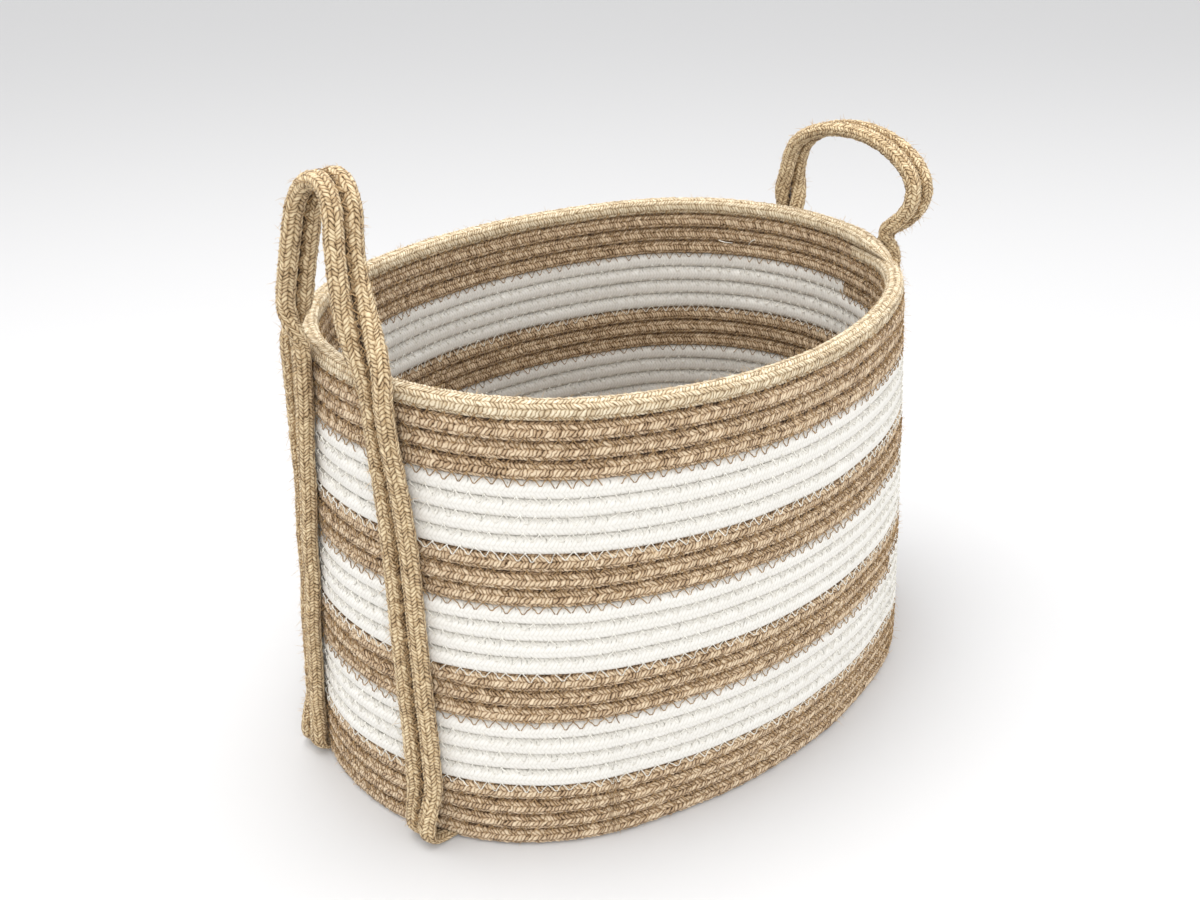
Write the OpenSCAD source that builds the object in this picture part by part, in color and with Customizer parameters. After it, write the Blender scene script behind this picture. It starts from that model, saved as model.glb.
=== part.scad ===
// Oval rope basket with two carrying loops.
// One rope is laid round in level courses, each sewn to the course below, in bands of jute and cotton.
// Origin: centre of the footprint on the floor. +X along the basket, +Y across it, +Z up. Millimetres.

/* [Basket] */
// Length of the wall at the floor
length_bottom = 400; // [300:2:500]
// Width of the wall at the floor
width_bottom = 286; // [220:2:360]
// Length of the wall at the rim
length_top = 368; // [280:2:500]
// Width of the wall at the rim
width_top = 276; // [200:2:360]
// How far the long sides bow out at half height
side_bow = 4; // [0:0.5:8]
// End arc radius as a share of the half width, which sets how full the oval is
end_fullness = 0.91; // [0.8:0.01:0.96]

/* [Rope] */
// Rope thickness across the wall
rope_d = 10.4; // [8:0.1:14]
// Height of one course, a little under the rope because the stitching squeezes it
course_pitch = 9.75; // [7.5:0.05:13]
// Diameter of the rope in the handles
handle_rope_d = 10; // [8:0.1:12]
// Thickness of the sewing thread
thread_d = 1.2; // [0.8:0.1:1.6]
// Depth of the groove that the stitching pulls between two courses
groove_depth = 2; // [1.9:0.1:3]
// Height of that groove
groove_height = 2.4; // [2:0.1:4]

/* [Bands] */
// Jute courses standing on the base
jute_bottom_courses = 3; // [2:1:6]
// Courses in each cotton band
cotton_courses = 4; // [2:1:6]
// Courses in each jute band between two cotton bands
jute_middle_courses = 3; // [2:1:6]
// Jute courses below the rim course
jute_top_courses = 3; // [2:1:6]

/* [Straps] */
// Distance from the middle of the end to each strap at the floor
strap_y_bottom = 54; // [40:1:70]
// The same at the rim, for the left handle's front strap
left_front_y = 38; // [26:1:62]
// The same for the left handle's back strap
left_back_y = 28; // [26:1:62]
// The same for the right handle's front strap
right_front_y = 54; // [26:1:62]
// The same for the right handle's back strap
right_back_y = 30; // [26:1:62]
// Length of the flattened strap end sewn under the base
toe_length = 30; // [20:1:45]
// Thickness of the flattened strap end
toe_thickness = 4; // [2:0.5:6]
// Width of the flattened strap end
toe_width = 22; // [20:0.5:26]

/* [Loops] */
// Height of the pivot line above the rim
pivot_rise = 5.5; // [5.2:0.1:8]
// Distance from the middle of the left loop's pivots to its front leg, at its shoulder
left_front_half = 10; // [8:1:60]
// The same to its back leg
left_back_half = 24; // [8:1:60]
// Rise of the left loop's crown above its shoulders
left_crown_rise = 24; // [12:1:40]
// Height of the left loop's shoulders above the pivots
left_shoulder = 59; // [15:1:70]
// How far the left loop leans over the basket at its top
left_lean = 11; // [-10:1:15]
// How far the left loop's front leg bows away from its middle
left_front_bow = -1.25; // [-6:0.25:8]
// The same for its back leg
left_back_bow = 0; // [-6:0.25:8]
// Distance from the middle of the right loop's pivots to its front leg, at its shoulder
right_front_half = 64; // [12:1:70]
// The same to its back leg
right_back_half = 40; // [12:1:70]
// Rise of the right loop's crown above its shoulders
right_crown_rise = 27; // [12:1:40]
// Height of the right loop's shoulders above the pivots
right_shoulder = 27; // [15:1:70]
// How far the right loop leans over the basket at its top
right_lean = -1; // [-10:1:15]
// How far the right loop's front leg bows away from its middle
right_front_bow = 5; // [-6:0.25:8]
// The same for its back leg
right_back_bow = 1.5; // [-6:0.25:8]

/* [Hidden] */
$fn = 64;
jute = [0.69, 0.55, 0.39];
jute_rim = [0.76, 0.63, 0.45];
cotton = [0.93, 0.92, 0.89];
tan_thread = [0.45, 0.35, 0.24];
white_thread = [0.85, 0.84, 0.80];

// First course of each band, counting the base's outer turn as course 0
jute_bottom_first = 1;
cotton_lower_first = jute_bottom_first + jute_bottom_courses;
jute_lower_first = cotton_lower_first + cotton_courses;
cotton_middle_first = jute_lower_first + jute_middle_courses;
jute_upper_first = cotton_middle_first + cotton_courses;
cotton_upper_first = jute_upper_first + jute_middle_courses;
jute_top_first = cotton_upper_first + cotton_courses;
rim_index = jute_top_first + jute_top_courses;
courses = rim_index + 1;
wall_height = courses * course_pitch;

rope_r = rope_d / 2;
handle_r = handle_rope_d / 2;
thread_r = thread_d / 2;
pivot_z = wall_height + pivot_rise;
// How far a side arc stops short of its tangent point
tangent_margin = 3;
// Gap left between solids that lie against each other on a curve
clearance = 0.3;
// Gap between a strap's ends and the wall, which swells a little towards the strap between them
strap_gap = 1.7;
// Gap between the sewing thread and the rope on both sides of its groove
thread_gap = 0.6;
// Distance of a handle rope's centre from the middle of its pair, which leaves a hair's gap
lane = handle_r + 0.2;
// Gap between a strap's rounded top and the round end of the loop above it
pivot_gap = 0.7;
// Height of a strap's rounded heel above the floor that its flattened end lies on
heel_lift = 0.2;

// Height of a thread that lies in the valley between two handle ropes, above their middle line
thread_rise = sqrt((handle_r + thread_r) * (handle_r + thread_r) - lane * lane) + clearance;

// Height over which a loop's pair of ropes turns to face along the basket
twist_height = 28;
// Loop tube: sides round it, and stations up each leg and over the crown
tube_sides = 10;
thread_sides = 6;
leg_steps = 9;
crown_steps = 16;
cap_steps = 3;

// ---- Oval made of four tangent arcs ----

// Half length and half width of the wall's outside at height z
function half_length(z) = let (h = z / wall_height) (length_bottom + (length_top - length_bottom) * h) / 2;
function half_width(z) =
    let (h = z / wall_height)
    (width_bottom + (width_top - width_bottom) * h) / 2 + side_bow * 4 * h * (1 - h);

// Radius of the two end arcs and of the two side arcs for half sizes a and b
function end_radius(b) = end_fullness * b;
function side_radius(a, b) = let (r = end_radius(b)) (r * r - b * b - (a - r) * (a - r)) / (2 * (r - b));
// Angle from the X axis at which an end arc meets a side arc
function joint_angle(a, b) = atan2(side_radius(a, b) - b, a - end_radius(b));

// X of the wall's outside at distance y from the middle, within the end arc
function wall_x(y, z) =
    let (a = half_length(z), r = end_radius(half_width(z)))
    a - r + sqrt(r * r - y * y);

// Flat oval of half sizes a and b, drawn a distance inside its edge. The side arcs stop a little short
// of the true tangent points, so that they never run along the end arcs.
module oval_outline(a, b, inset) {
    end_r = end_radius(b);
    side_r = side_radius(a, b);
    meet_x = a - end_r + (end_r - inset) * cos(joint_angle(a, b)) - tangent_margin;
    for (side = [-1, 1])
        translate([side * (a - end_r), 0]) circle(r = end_r - inset);
    intersection() {
        translate([0, b - side_r]) circle(r = side_r - inset);
        translate([0, side_r - b]) circle(r = side_r - inset);
        square([2 * meet_x, 3 * b], center = true);
    }
}

// Band that follows the oval between two distances inside its edge
module oval_ring(a, b, outer_inset, inner_inset) {
    difference() {
        oval_outline(a, b, outer_inset);
        oval_outline(a, b, inner_inset);
    }
}

// ---- Courses ----

// One level turn of rope, where index 0 is the lowest: its full width, and its narrow sewn edges
module course(index) {
    z = index * course_pitch;
    a = half_length(z + course_pitch / 2);
    b = half_width(z + course_pitch / 2);
    translate([0, 0, z]) {
        linear_extrude(course_pitch)
            oval_ring(a, b, groove_depth, rope_d - groove_depth);
        translate([0, 0, groove_height / 2])
            linear_extrude(course_pitch - groove_height)
                oval_ring(a, b, 0, rope_d);
    }
}

module band(first, count) {
    for (index = [first : first + count - 1])
        course(index);
}

// Floor of the basket with its outer turn, notched for the flattened strap ends
module base_coil() {
    z = course_pitch / 2;
    color(jute)
        difference() {
            union() {
                linear_extrude(course_pitch)
                    oval_outline(half_length(z), half_width(z), rope_r);
                course(0);
            }
            for (end = [-1, 1], side = [-1, 1])
                toe_block(end, side, clearance);
        }
}

// ---- Sewing thread ----

// Thread in the groove on each side of the wall, above course index. The floor covers the lowest
// one's inner side.
module seam_thread(index) {
    z = (index + 1) * course_pitch;
    a = half_length(z);
    b = half_width(z);
    outer = groove_depth - thread_gap - thread_d;
    translate([0, 0, z - thread_r])
        linear_extrude(thread_d) {
            oval_ring(a, b, outer, outer + thread_d);
            if (index > 0)
                oval_ring(a, b, rope_d - outer - thread_d, rope_d - outer);
        }
}

// A seam is sewn in the colour of the course that it adds, which is the upper one
module seams_below(first, count) {
    for (index = [first : first + count - 1])
        seam_thread(index - 1);
}

module seam_thread_tan() {
    color(tan_thread) {
        seams_below(jute_bottom_first, jute_bottom_courses);
        seams_below(jute_lower_first, jute_middle_courses);
        seams_below(jute_upper_first, jute_middle_courses);
        seams_below(jute_top_first, jute_top_courses + 1);
    }
}

module seam_thread_white() {
    color(white_thread) {
        seams_below(cotton_lower_first, cotton_courses);
        seams_below(cotton_middle_first, cotton_courses);
        seams_below(cotton_upper_first, cotton_courses);
    }
}

// ---- Straps: two ropes side by side down the outside of the wall ----

// Distance from the middle of the end to a strap at the rim; end is -1 left or 1 right, side -1 front
function strap_y_top(end, side) =
    end < 0 ? (side < 0 ? left_front_y : left_back_y) : (side < 0 ? right_front_y : right_back_y);

// Where a strap leaves the wall: its pivot, clear of the wall for both ropes
function pivot(end, side) =
    let (y = strap_y_top(end, side))
    [end * (wall_x(y - lane, wall_height) + handle_r + strap_gap), side * y, pivot_z];

// Where a strap turns under the base, in the same way
function heel(end, side) =
    [
        end * (wall_x(strap_y_bottom - lane, handle_r) + handle_r + strap_gap),
        side * strap_y_bottom,
        handle_r + heel_lift
    ];

// Middle of the line between a handle's two pivots, and that line's direction
function pivot_middle(end) = (pivot(end, -1) + pivot(end, 1)) / 2;
function pivot_line(end) = let (d = pivot(end, 1) - pivot(end, -1)) d / norm(d);
function pivot_outward(end) = end * cross(pivot_line(end), [0, 0, 1]);

// Centre of one of a strap's two ropes at its top and at its heel; which is -1 or 1
function rope_top(end, side, which) =
    pivot(end, side) + which * lane * pivot_line(end) - [0, 0, handle_rope_d + pivot_gap];
function rope_heel(end, side, which) = heel(end, side) + [0, which * lane, 0];

// Places a shape that stands on Z at a point, turned to face another
module aim(from, to) {
    d = to - from;
    translate(from)
        rotate([0, acos(d[2] / norm(d)), atan2(d[1], d[0])])
            children();
}

// Round rod with round ends between two points
module rod(from, to, radius) {
    length = norm(to - from);
    aim(from, to)
        rotate_extrude()
            intersection() {
                union() {
                    circle(r = radius);
                    translate([0, length]) circle(r = radius);
                    square([radius, length]);
                }
                translate([0, -radius]) square([radius, length + 2 * radius]);
            }
}

// Flattened strap end that lies in a notch under the base; grow makes the notch
module toe_block(end, side, grow) {
    from = heel(end, side);
    width = toe_width + 2 * grow;
    length = toe_length + grow;
    translate([end < 0 ? from[0] : from[0] - length, from[1] - width / 2, 0])
        cube([length, width, toe_thickness + grow]);
}

module strap(end, side) {
    color(jute) {
        for (which = [-1, 1])
            rod(rope_heel(end, side, which), rope_top(end, side, which), handle_r);
        toe_block(end, side, 0);
    }
}

// Thread in the outer valley between a strap's ropes
module strap_thread(end, side) {
    from = (rope_heel(end, side, -1) + rope_heel(end, side, 1)) / 2 + [end * thread_rise, 0, 0];
    to = (rope_top(end, side, -1) + rope_top(end, side, 1)) / 2 + thread_rise * pivot_outward(end);
    color(tan_thread)
        aim(from, to) cylinder(r = thread_r, h = norm(to - from));
}

module strap_threads(end) {
    for (side = [-1, 1])
        strap_thread(end, side);
}

// ---- Loops: the same two ropes carried over from one strap to the other ----

// A loop's own numbers: crown rise, shoulder height and lean
function loop_shape(end) =
    end < 0
        ? [left_crown_rise, left_shoulder, left_lean]
        : [right_crown_rise, right_shoulder, right_lean];
function loop_top(end) = loop_shape(end)[0] + loop_shape(end)[1];
// A leg's distance from the middle at its shoulder, and its bow. Leg -1 is the front one of the right loop
// and the back one of the left loop, which is turned half round.
function leg_shape(end, leg) =
    end < 0
        ? (leg > 0 ? [left_front_half, left_front_bow] : [left_back_half, left_back_bow])
        : (leg < 0 ? [right_front_half, right_front_bow] : [right_back_half, right_back_bow]);

// Half the distance between a loop's pivots
function leg_half_span(end) = norm(pivot(end, 1) - pivot(end, -1)) / 2;

// Stations of a loop's middle line, as [outward, along, up, which leg]
function loop_point(end, along, up, leg) =
    [-loop_shape(end)[2] * pow(up / loop_top(end), 2), along, up, leg];
function leg_point(end, leg, share) =
    let (
        half = leg_shape(end, leg)[0],
        bow = leg_shape(end, leg)[1],
        straight = half + (leg_half_span(end) - half) * (1 - share)
    )
    loop_point(end, leg * (straight + 4 * bow * share * (1 - share)), loop_shape(end)[1] * share, leg);
function crown_point(end, angle) =
    let (
        near = leg_shape(end, -1)[0],
        far = leg_shape(end, 1)[0],
        along = (far - near) / 2 - (far + near) / 2 * cos(angle)
    )
    loop_point(end, along, loop_shape(end)[1] + loop_shape(end)[0] * sin(angle), angle < 90 ? -1 : 1);
function loop_stations(end) = [
    for (i = [0 : leg_steps - 1]) leg_point(end, -1, i / leg_steps),
    for (i = [0 : crown_steps]) crown_point(end, 180 * i / crown_steps),
    for (i = [leg_steps - 1 : -1 : 0]) leg_point(end, 1, i / leg_steps)
];

// Direction from the middle line to the outer rope: along the pivot line at the rim, outward higher up
function twist(up) = let (s = min(1, up / twist_height)) 90 * s * s * (3 - 2 * s);
function across(station) =
    let (turn = twist(station[2]))
    [sin(turn), -station[3] * cos(turn), 0];

function unit(v) = v / norm(v);
function place(station) = [station[0], station[1], station[2]];
// Direction of travel at a point of a path; ends point straight up and down
function heading(path, i) =
    i == 0 ? [0, 0, 1]
    : i == len(path) - 1 ? [0, 0, -1]
    : unit(path[i + 1] - path[i - 1]);

// Part of a direction that is square to another
function square_to(v, direction) = unit(v - (v * direction) * direction);

// Rope line: which is -1 for the inner rope, on the basket's side of the crown, and 1 for the outer
function rope_path(end, which) =
    let (
        stations = loop_stations(end),
        middle = [for (s = stations) place(s)]
    )
    [
        for (i = [0 : len(middle) - 1])
            middle[i] + which * lane * square_to(across(stations[i]), heading(middle, i))
    ];

// Thread line: in the valley on the loop's outer face
function thread_path(end) =
    let (
        stations = loop_stations(end),
        middle = [for (s = stations) place(s)]
    )
    [
        for (i = [0 : len(middle) - 1])
            middle[i] + thread_rise * unit(cross(across(stations[i]), heading(middle, i)))
    ];

// Ring of points round a path's point
function ring(centre, direction, radius, sides) =
    let (u = unit([1, 0, 0] - direction[0] * direction), v = cross(direction, u))
    [for (k = [0 : sides - 1]) centre + radius * (cos(360 * k / sides) * u + sin(360 * k / sides) * v)];

// Closed tube along a path, with round caps
module tube(path, radius, sides) {
    last = len(path) - 1;
    start = heading(path, 0);
    finish = heading(path, last);
    caps = [for (k = [1 : cap_steps]) 90 * k / (cap_steps + 1)];
    rings = [
        for (k = [cap_steps - 1 : -1 : 0])
            ring(path[0] - radius * sin(caps[k]) * start, start, radius * cos(caps[k]), sides),
        for (i = [0 : last]) ring(path[i], heading(path, i), radius, sides),
        for (k = [0 : cap_steps - 1])
            ring(path[last] + radius * sin(caps[k]) * finish, finish, radius * cos(caps[k]), sides)
    ];
    total = len(rings);
    points = [
        for (r = rings) each r,
        path[0] - radius * start,
        path[last] + radius * finish
    ];
    walls = [
        for (r = [0 : total - 2], k = [0 : sides - 1])
            let (next = (k + 1) % sides)
            each [
                [r * sides + k, (r + 1) * sides + k, (r + 1) * sides + next],
                [r * sides + k, (r + 1) * sides + next, r * sides + next]
            ]
    ];
    ends = [
        for (k = [0 : sides - 1])
            let (next = (k + 1) % sides)
            each [
                [total * sides, k, next],
                [total * sides + 1, (total - 1) * sides + next, (total - 1) * sides + k]
            ]
    ];
    polyhedron(points = points, faces = concat(walls, ends));
}

// Puts a loop's frame, X outward and Y along the pivot line, at its handle
module at_handle(end) {
    line = pivot_line(end);
    translate(pivot_middle(end))
        rotate([0, 0, atan2(line[1], line[0]) - 90 + (end < 0 ? 180 : 0)])
            children();
}

module loop_rope(end, which) {
    color(jute_rim)
        at_handle(end) tube(rope_path(end, which), handle_r, tube_sides);
}

module loop_thread(end) {
    color(tan_thread)
        at_handle(end) tube(thread_path(end), thread_r, thread_sides);
}

// ---- Nodes ----

base_coil();
color(jute) band(jute_bottom_first, jute_bottom_courses);  // jute_band_bottom
color(cotton) band(cotton_lower_first, cotton_courses);  // cotton_band_lower
color(jute) band(jute_lower_first, jute_middle_courses);  // jute_band_lower
color(cotton) band(cotton_middle_first, cotton_courses);  // cotton_band_middle
color(jute) band(jute_upper_first, jute_middle_courses);  // jute_band_upper
color(cotton) band(cotton_upper_first, cotton_courses);  // cotton_band_upper
color(jute) band(jute_top_first, jute_top_courses);  // jute_band_top
color(jute_rim) course(rim_index);  // rim_course
seam_thread_tan();
seam_thread_white();
strap(-1, -1);  // left_front_strap
strap(-1, 1);  // left_back_strap
strap(1, -1);  // right_front_strap
strap(1, 1);  // right_back_strap
strap_threads(-1);  // left_strap_thread
strap_threads(1);  // right_strap_thread
loop_rope(-1, -1);  // left_loop_inner_rope
loop_rope(-1, 1);  // left_loop_outer_rope
loop_thread(-1);  // left_loop_thread
loop_rope(1, -1);  // right_loop_inner_rope
loop_rope(1, 1);  // right_loop_outer_rope
loop_thread(1);  // right_loop_thread
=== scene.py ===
"""Looks of the oval rope basket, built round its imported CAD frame.

Shapes are worked out in millimetres, in the frame's own axes, and turned into metres where a mesh is made.
"""

import math

import bpy
import numpy as np
from mathutils import Matrix, Vector


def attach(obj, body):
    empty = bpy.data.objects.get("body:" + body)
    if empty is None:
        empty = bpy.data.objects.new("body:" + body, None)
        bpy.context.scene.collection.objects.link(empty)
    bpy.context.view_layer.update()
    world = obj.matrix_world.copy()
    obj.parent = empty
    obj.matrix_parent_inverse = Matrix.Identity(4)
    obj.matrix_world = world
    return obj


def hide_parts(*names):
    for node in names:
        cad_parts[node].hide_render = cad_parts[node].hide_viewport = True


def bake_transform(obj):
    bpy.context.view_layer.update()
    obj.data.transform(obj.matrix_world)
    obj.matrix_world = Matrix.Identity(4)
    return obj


MM = 0.001
TURN = 2 * math.pi

# Wall, as in the CAD source
LENGTH_BOTTOM, LENGTH_TOP = 400.0, 368.0
WIDTH_BOTTOM, WIDTH_TOP = 286.0, 276.0
SIDE_BOW = 4.0
END_FULLNESS = 0.91
ROPE_R = 5.2
PITCH = 9.75
COURSES = 26
WALL_HEIGHT = COURSES * PITCH

# Handles, as in the CAD source. End -1 is the left one, and side -1 the front.
HANDLE_NAMES = {-1: "left", 1: "right"}
HANDLE_R = 5.0
# From the middle of a handle's pair of ropes to the middle of each
LANE = 5.2
STRAP_GAP = 1.7
# Heights between which a strap slants
HEEL_Z = 5.2
PIVOT_Z = 259.0
STRAP_Y_BOTTOM = 54.0
# Flattened end of a rope under the floor, and the bend that leads up from it
TOE_LENGTH = 30.0
TOE_HALF = 2.0
TOE_BEND = 7.0
# Distance of each strap from the middle of its end at the rim, by end and side
STRAP_Y_TOP = {(-1, -1): 38.0, (-1, 1): 28.0, (1, -1): 54.0, (1, 1): 30.0}
# By end: crown rise, shoulder height and lean over the basket
LOOPS = {-1: (24.0, 59.0, 11.0), 1: (27.0, 27.0, -1.0)}
# By end and side: a leg's distance from the middle at its shoulder, and how far it bows away
LEGS = {(-1, -1): (10.0, -1.25), (-1, 1): (24.0, 0.0), (1, -1): (64.0, 5.0), (1, 1): (40.0, 1.5)}

# Handles, where they are nearer to the picture than the CAD. By end and side, the twist of a pair of ropes
# from lying along the wall to facing along the basket: its middle, above the pivot, and its height.
TWISTS = {(-1, -1): (16.0, 70.0), (-1, 1): (9.0, 26.0), (1, -1): (-6.0, 22.0), (1, 1): (4.0, 34.0)}
# The ropes are pulled a little flat by their sewing
HANDLE_FLATNESS = 0.9
# Heights over which a strap goes against the wall, and over which it leaves it again
HUG_START, HUG_END = (10, 38), (165, 260)
# Heights over which a strap turns to the loop's own direction, and over which its line is softened
STRAP_TURN, STRAP_SOFTENING = (180, 240), (180, 220)

# The rope climbs clockwise, and its two ends lie near the right front strap. A turn's step and the ends'
# tapers take this share of a turn.
START_ANGLE = math.radians(-18)
TAPER = 0.06
# Turns over which the climb changes from steps to an even one, and back by half below the rim
LEVELLING = 4
# Turns at which the colour changes. One just after a whole turn lies a little nearer to the front.
COLOUR_CHANGES = (4.07, 8.11, 11.04, 15.09, 18.03, 21.99)
# Turns of rope in the floor, round its core
BASE_TURNS = 13
# Added to a rope's half size where neighbouring turns press into each other, in the wall and in the floor
WALL_OVERLAP, BASE_OVERLAP = 0.3, 0.25

# Zigzag sewing
STITCH_PITCH = 7.8
STITCH_REACH = 3.0
THREAD_RADIUS = 0.27
# A stitch limb, from one tip to the other: share of its length, and its depth under the rope's face
LIMB = np.array([(0.0, 0.75), (0.14, -0.3), (0.36, 0.0), (0.5, 0.5), (0.64, 0.0), (0.86, -0.3), (1.0, 0.75)])
LIMB_MIDDLE = len(LIMB) // 2

# Loose fibres on each body, their shortest and longest length, and their radius from root to tip
FIBRES = {"basket": 16000, "left_handle": 2600, "right_handle": 2600}
FIBRE_LENGTHS = (1.2, 5.0)
FIBRE_RADII = np.array([0.11, 0.1, 0.09, 0.07, 0.02])


# ---- Shape of the wall ----


def half_sizes(z):
    """Half length and half width of the wall's outside at a height."""
    h = z / WALL_HEIGHT
    a = (LENGTH_BOTTOM + (LENGTH_TOP - LENGTH_BOTTOM) * h) / 2
    b = (WIDTH_BOTTOM + (WIDTH_TOP - WIDTH_BOTTOM) * h) / 2 + SIDE_BOW * 4 * h * (1 - h)
    return a, b


def oval(psi, a, b, inset=0.0):
    """Points and outward directions of the oval of half sizes a and b, a distance inside it."""
    r = END_FULLNESS * b
    side = (r * r - b * b - (a - r) ** 2) / (2 * (r - b))
    meet = np.arctan2(side - b, a - r)
    c, s = np.cos(psi), np.sin(psi)
    at_end = np.arctan2(np.abs(s), np.abs(c)) <= meet
    x = np.where(at_end, np.sign(c) * (a - r) + (r - inset) * c, (side - inset) * c)
    y = np.where(at_end, (r - inset) * s, (side - inset) * s - np.sign(s) * (side - b))
    return np.stack([x, y], -1), np.stack([c, s], -1)


def oval_table(a, b, inset=0.0):
    """Outward angle against distance round the oval."""
    psi = np.linspace(0, TURN, 4001)
    p, _ = oval(psi, a, b, inset)
    run = np.concatenate([[0], np.cumsum(np.linalg.norm(np.diff(p, axis=0), axis=1))])
    return psi, run


MIDDLE_PSI, MIDDLE_RUN = oval_table(*half_sizes(WALL_HEIGHT / 2))
GIRTH = MIDDLE_RUN[-1]
START_RUN = np.interp(START_ANGLE % TURN, MIDDLE_PSI, MIDDLE_RUN)


def angle_at(turns):
    """Outward angle of the wall at a number of turns along the rope."""
    return np.interp((START_RUN - turns * GIRTH) % GIRTH, MIDDLE_RUN, MIDDLE_PSI)


def ease(x):
    """Smooth step from 0 to 1."""
    x = np.clip(x, 0, 1)
    return x * x * (3 - 2 * x)


def rising(z, heights):
    """Smooth step from 0 to 1 between two heights."""
    return ease((z - heights[0]) / (heights[1] - heights[0]))


def seam_level(turns):
    """Height of the underside of the rope, in courses, at a number of turns along it. Near the floor each
    turn starts with a short step up, and higher up it climbs evenly."""
    turns = np.asarray(turns, float)
    k = np.floor(turns)
    q = turns - k
    even = ease((turns - 1) / LEVELLING) * (1 - 0.5 * ease((turns - COURSES + LEVELLING) / LEVELLING))
    level = k - 1 + (1 - even) * ease(q / TAPER) + even * (q + 0.5)
    level = np.where(turns < 1, 0, level)
    # Past the last whole turn, the rope's upper side comes down to its underside
    top = COURSES + 1
    upper, under = COURSES + 0.25, COURSES - 0.25 + TAPER / 2
    return np.where(turns >= top, upper + (under - upper) * ease((turns - top) / TAPER), level)


def waves(x, scale, seed, count=5):
    """Gentle uneven curve through x, about -1 to 1, with features near one scale."""
    r = np.random.default_rng(seed)
    total = 0
    for _ in range(count):
        total = total + np.sin(x * TURN / (scale * r.uniform(0.6, 1.8)) + r.uniform(0, TURN))
    return total / math.sqrt(count * 1.2)


def settle(p):
    """Points of the soft basket where it stands a little unevenly, with a rim that dips at the front and
    leans to the back left."""
    p = np.array(p, float)
    h = np.clip(p[..., 2] / WALL_HEIGHT, 0, 1)
    t = np.arctan2(p[..., 1], p[..., 0])
    bulge = 0.7 * np.sin(3 * t + 1.1 + 2.5 * h) * h
    p[..., 0] += -3.8 * h + bulge * np.cos(t)
    p[..., 1] += 2.7 * h + bulge * np.sin(t)
    p[..., 2] += h * (2.4 * np.cos(2 * t) + 0.3 * np.cos(t) + 4.9 * np.sin(t) - 0.9)
    return p


# ---- Meshes ----


def unit(v):
    """Directions of some vectors."""
    return v / np.maximum(np.linalg.norm(v, axis=-1, keepdims=True), 1e-9)


def mesh_object(name, verts, tris, material, pattern=None, uv=None):
    """Object from points in millimetres and triangles, with a braid's pattern and the bake's layout."""
    mesh = bpy.data.meshes.new(name)
    mesh.vertices.add(len(verts))
    mesh.vertices.foreach_set("co", (np.asarray(verts) * MM).astype(np.float32).ravel())
    mesh.loops.add(3 * len(tris))
    mesh.loops.foreach_set("vertex_index", np.asarray(tris, np.int32).ravel())
    mesh.polygons.add(len(tris))
    mesh.polygons.foreach_set("loop_start", np.arange(0, 3 * len(tris), 3, dtype=np.int32))
    mesh.update(calc_edges=True)
    mesh.shade_smooth()
    if pattern is not None:
        braided = mesh.attributes.new("Braid", "FLOAT_VECTOR", "POINT")
        braided.data.foreach_set("vector", pattern.astype(np.float32).ravel())
    if uv is not None:
        mesh.uv_layers.new(name="OFBake").data.foreach_set("uv", uv.astype(np.float32).ravel())
    mesh.materials.append(material)
    made = bpy.data.objects.new(name, mesh)
    bpy.context.scene.collection.objects.link(made)
    return made


def noise_of(n, k):
    """Repeatable random number from -1 to 1 for a pair of whole numbers."""
    mixed = np.sin(n * 12.9898) + np.sin(k * 78.233)
    return 2 * ((mixed * 43758.5453) % 1) - 1


# How far a strand slants across its column, in strands
STRAND_LEAN = 1.15
# Braids: columns round the rope, corners of the mesh in each, length of one strand, relief, how much the
# relief changes from strand to strand, how unevenly the strands are spaced, length of the mesh's steps, how
# little the painted shade and bump of the gaps between strands show, how far strands stray in the colours,
# and whether needle holes show as dents with painted shade
JUTE_BRAID = dict(columns=10, per_column=3, period=2.1, relief=0.55, uneven=1.0, wander=1.3, step=0.42,
                  soft=0.0, stray=1.3, dots=False)
COTTON_BRAID = dict(columns=8, per_column=3, period=2.3, relief=0.1, uneven=0.3, wander=0.6, step=0.575,
                    soft=0.4, stray=0.4, dots=True)
BASE_BRAID = dict(columns=8, per_column=2, period=2.6, relief=0.5, uneven=0.9, wander=1.2, step=0.65,
                  soft=0.0, stray=1.3, dots=False)


def strands_at(along, kind, seed):
    """Unevenly growing count of strands along a rope."""
    sway = 0.3 * np.sin(along * 0.021 + seed) + 0.22 * np.sin(along * 0.093 + 2 * seed)
    return along / kind["period"] + kind["wander"] * (sway + 0.14 * np.sin(along * 0.41 + 3 * seed))


def braid(strands, column, kind):
    """Relief in mm and crest of a braid: slanting strands in columns that lean opposite ways. The rope
    material works out the same pattern."""
    k = np.floor(column + 1e-4)
    f = column - k
    odd = k % 2
    phase = strands + (1 - 2 * odd) * STRAND_LEAN * (f - 0.5) + 0.5 * odd + 0.2 * np.sin(2.9 * k)
    n = np.floor(phase)
    crest = np.sqrt(np.clip(1 - (2 * (phase - n) - 1) ** 2, 0, 1)) * (1 - 0.5 * np.abs(2 * f - 1) ** 2.5)
    relief = kind["relief"] * (crest - 0.75 + kind["uneven"] * 0.5 * noise_of(n, k) * crest)
    return relief, crest


def needle_holes(in_body, along, s, seed):
    """In_body with low spots, dents with painted shade in them, where the zigzag's needle went through beside
    both seams."""
    r = np.random.default_rng(seed)
    in_body = np.array(in_body)
    count = int((along[-1] - along[0]) / (STITCH_PITCH / 2)) - 1
    at = along[0] + (np.arange(count) + 0.7) * STITCH_PITCH / 2 + r.uniform(-0.7, 0.7, count)
    row = np.searchsorted(along, at)
    # Each hole gets painted shade and a shallower bump
    for column in np.flatnonzero(np.abs(np.abs(s) - 0.6) < 0.12):
        in_body[row[r.uniform(0, 1, count) < 0.45], column] *= 0.3
    return in_body


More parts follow.
